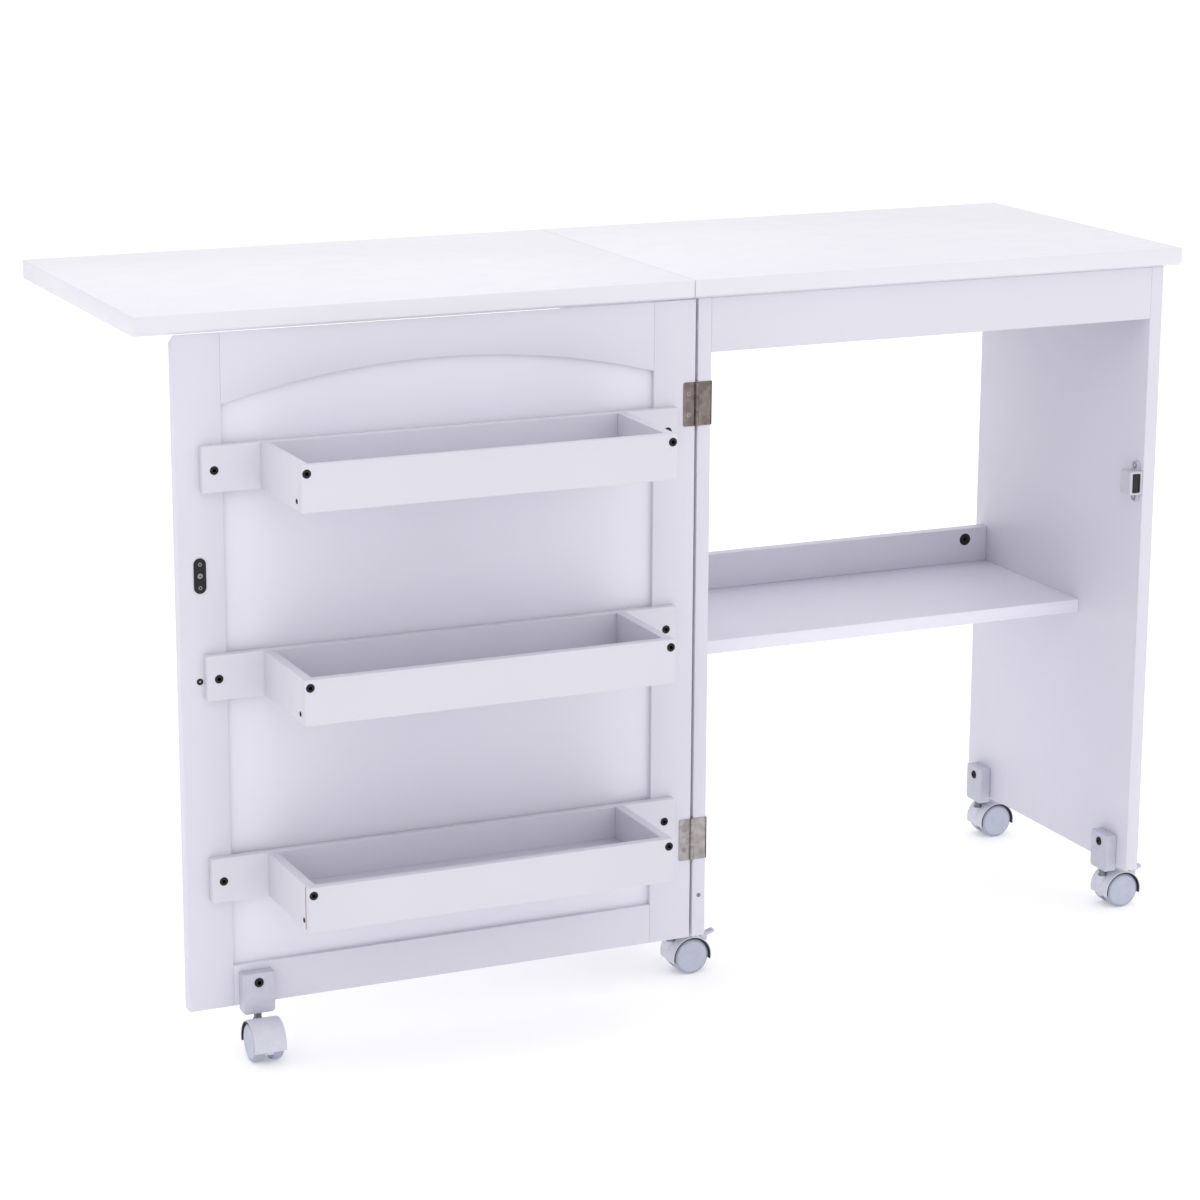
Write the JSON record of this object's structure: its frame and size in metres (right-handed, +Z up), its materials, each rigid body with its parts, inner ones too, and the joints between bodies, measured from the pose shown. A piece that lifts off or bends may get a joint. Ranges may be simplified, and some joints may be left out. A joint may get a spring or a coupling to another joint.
{
  "type": "sewing table",
  "caption": "Folding sewing table on casters, with a fixed top over an open cabinet and shelf, a hinged drop leaf and a swinging door that carries storage racks.",
  "frame": {"origin": "centre of the whole footprint on the floor, with the table open", "axes": "+X along the table towards the cabinet side away from the door, +Y from the front to the rear, +Z up"},
  "size_m": [1.1914, 0.5256, 0.762],
  "materials": {
    "board_white": "white satin lacquer on board",
    "panel_white": "white satin lacquer on thin board",
    "top_white": "white smooth laminate",
    "hinge_nickel": "satin nickel",
    "screw_steel": "zinc plated",
    "black_metal": "black oxide",
    "magnet_black": "matt black",
    "catch_plastic": "moulded white",
    "caster_plastic": "moulded light grey",
    "wheel_plastic": "moulded light grey",
    "knob_white": "white gloss lacquer"
  },
  "bodies": {
    "cabinet": {"fixed_top": "top_white", "left_side_panel": "board_white", "right_side_panel": "board_white", "front_apron": "board_white", "rear_apron": "board_white", "shelf": "board_white", "shelf_back_rail": "board_white", "cam_locks": "black_metal", "confirmat_screws": "screw_steel", "top_brackets": "screw_steel", "leaf_hinge_fixed_plates": "hinge_nickel", "hinge_pins": "screw_steel", "door_hinge_frame_leaves": "hinge_nickel", "cabinet_wood_screws": "screw_steel", "catch_body": "catch_plastic", "catch_magnet": "magnet_black", "caster_blocks": "caster_plastic", "caster_block_bolts": "black_metal"},
    "door": {"door_free_stile": "board_white", "door_hinge_stile": "board_white", "door_top_rail": "board_white", "door_bottom_rail": "board_white", "door_panel": "panel_white", "rack_bottom_back_board": "board_white", "rack_bottom_front_board": "board_white", "rack_bottom_ends": "board_white", "rack_bottom_floor": "board_white", "rack_middle_back_board": "board_white", "rack_middle_front_board": "board_white", "rack_middle_ends": "board_white", "rack_middle_floor": "board_white", "rack_top_back_board": "board_white", "rack_top_front_board": "board_white", "rack_top_ends": "board_white", "rack_top_floor": "board_white", "rack_screws": "black_metal", "door_hinge_door_leaves": "hinge_nickel", "door_wood_screws": "screw_steel", "strike_plate": "black_metal", "door_knob": "knob_white", "knob_screw": "screw_steel", "door_caster_block": "caster_plastic", "door_caster_bolt": "black_metal"},
    "drop_leaf": {"drop_leaf": "top_white", "leaf_hinge_leaf_plates": "hinge_nickel", "leaf_hinge_leaf_screws": "screw_steel"},
    "door_swivel": {"door_caster_hood": "caster_plastic"},
    "door_roll": {"door_caster_wheels": "wheel_plastic"},
    "front_left_swivel": {"front_left_caster_hood": "caster_plastic"},
    "front_left_roll": {"front_left_caster_wheels": "wheel_plastic"},
    "front_right_swivel": {"front_right_caster_hood": "caster_plastic"},
    "front_right_roll": {"front_right_caster_wheels": "wheel_plastic"},
    "rear_left_swivel": {"rear_left_caster_hood": "caster_plastic"},
    "rear_left_roll": {"rear_left_caster_wheels": "wheel_plastic"},
    "rear_right_swivel": {"rear_right_caster_hood": "caster_plastic"},
    "rear_right_roll": {"rear_right_caster_wheels": "wheel_plastic"},
    "front_left_brake": {"front_left_brake_lever": "caster_plastic"},
    "front_right_brake": {"front_right_brake_lever": "caster_plastic"},
    "rear_right_brake": {"rear_right_brake_lever": "caster_plastic"}
  },
  "joints": [
    {"name": "door_swing", "type": "hinge", "parent": "cabinet", "child": "door", "pos_m": [0.00276, -0.1322, 0.395], "axis": [0, 0, 1], "range_deg": [0, 180]},
    {"name": "leaf_fold", "type": "hinge", "parent": "cabinet", "child": "drop_leaf", "pos_m": [-0.00274, 0.0628, 0.7398], "axis": [0, -1, 0], "range_deg": [0, 90]},
    {"name": "door_caster_swivel", "type": "hinge", "parent": "door", "child": "door_swivel", "pos_m": [-0.48674, -0.1377, 0.045], "axis": [0, 0, 1], "continuous": true},
    {"name": "front_left_caster_swivel", "type": "hinge", "parent": "cabinet", "child": "front_left_swivel", "pos_m": [-0.00224, -0.0932, 0.045], "axis": [0, 0, 1], "continuous": true},
    {"name": "front_right_caster_swivel", "type": "hinge", "parent": "cabinet", "child": "front_right_swivel", "pos_m": [0.54476, -0.0932, 0.045], "axis": [0, 0, 1], "continuous": true},
    {"name": "rear_left_caster_swivel", "type": "hinge", "parent": "cabinet", "child": "rear_left_swivel", "pos_m": [-0.00224, 0.1878, 0.045], "axis": [0, 0, 1], "continuous": true},
    {"name": "rear_right_caster_swivel", "type": "hinge", "parent": "cabinet", "child": "rear_right_swivel", "pos_m": [0.54476, 0.1878, 0.045], "axis": [0, 0, 1], "continuous": true},
    {"name": "door_caster_roll", "type": "hinge", "parent": "door_swivel", "child": "door_roll", "pos_m": [-0.48674, -0.1557, 0.02], "axis": [1, 0, 0], "continuous": true},
    {"name": "front_left_caster_roll", "type": "hinge", "parent": "front_left_swivel", "child": "front_left_roll", "pos_m": [0.01576, -0.0932, 0.02], "axis": [0, 1, 0], "continuous": true},
    {"name": "front_right_caster_roll", "type": "hinge", "parent": "front_right_swivel", "child": "front_right_roll", "pos_m": [0.56276, -0.0932, 0.02], "axis": [0, 1, 0], "continuous": true},
    {"name": "rear_left_caster_roll", "type": "hinge", "parent": "rear_left_swivel", "child": "rear_left_roll", "pos_m": [0.01576, 0.1878, 0.02], "axis": [0, 1, 0], "continuous": true},
    {"name": "rear_right_caster_roll", "type": "hinge", "parent": "rear_right_swivel", "child": "rear_right_roll", "pos_m": [0.56276, 0.1878, 0.02], "axis": [0, 1, 0], "continuous": true},
    {"name": "front_left_brake_press", "type": "hinge", "parent": "front_left_swivel", "child": "front_left_brake", "pos_m": [0.03506, -0.0932, 0.0376], "axis": [0, 1, 0], "range_deg": [0, 25]},
    {"name": "front_right_brake_press", "type": "hinge", "parent": "front_right_swivel", "child": "front_right_brake", "pos_m": [0.58206, -0.0932, 0.0376], "axis": [0, 1, 0], "range_deg": [0, 25]},
    {"name": "rear_right_brake_press", "type": "hinge", "parent": "rear_right_swivel", "child": "rear_right_brake", "pos_m": [0.58206, 0.1878, 0.0376], "axis": [0, 1, 0], "range_deg": [0, 25]}
  ],
  "couplings": [
    {"joint": "leaf_fold", "follows": "door_swing", "ratio": 0.5}
  ]
}
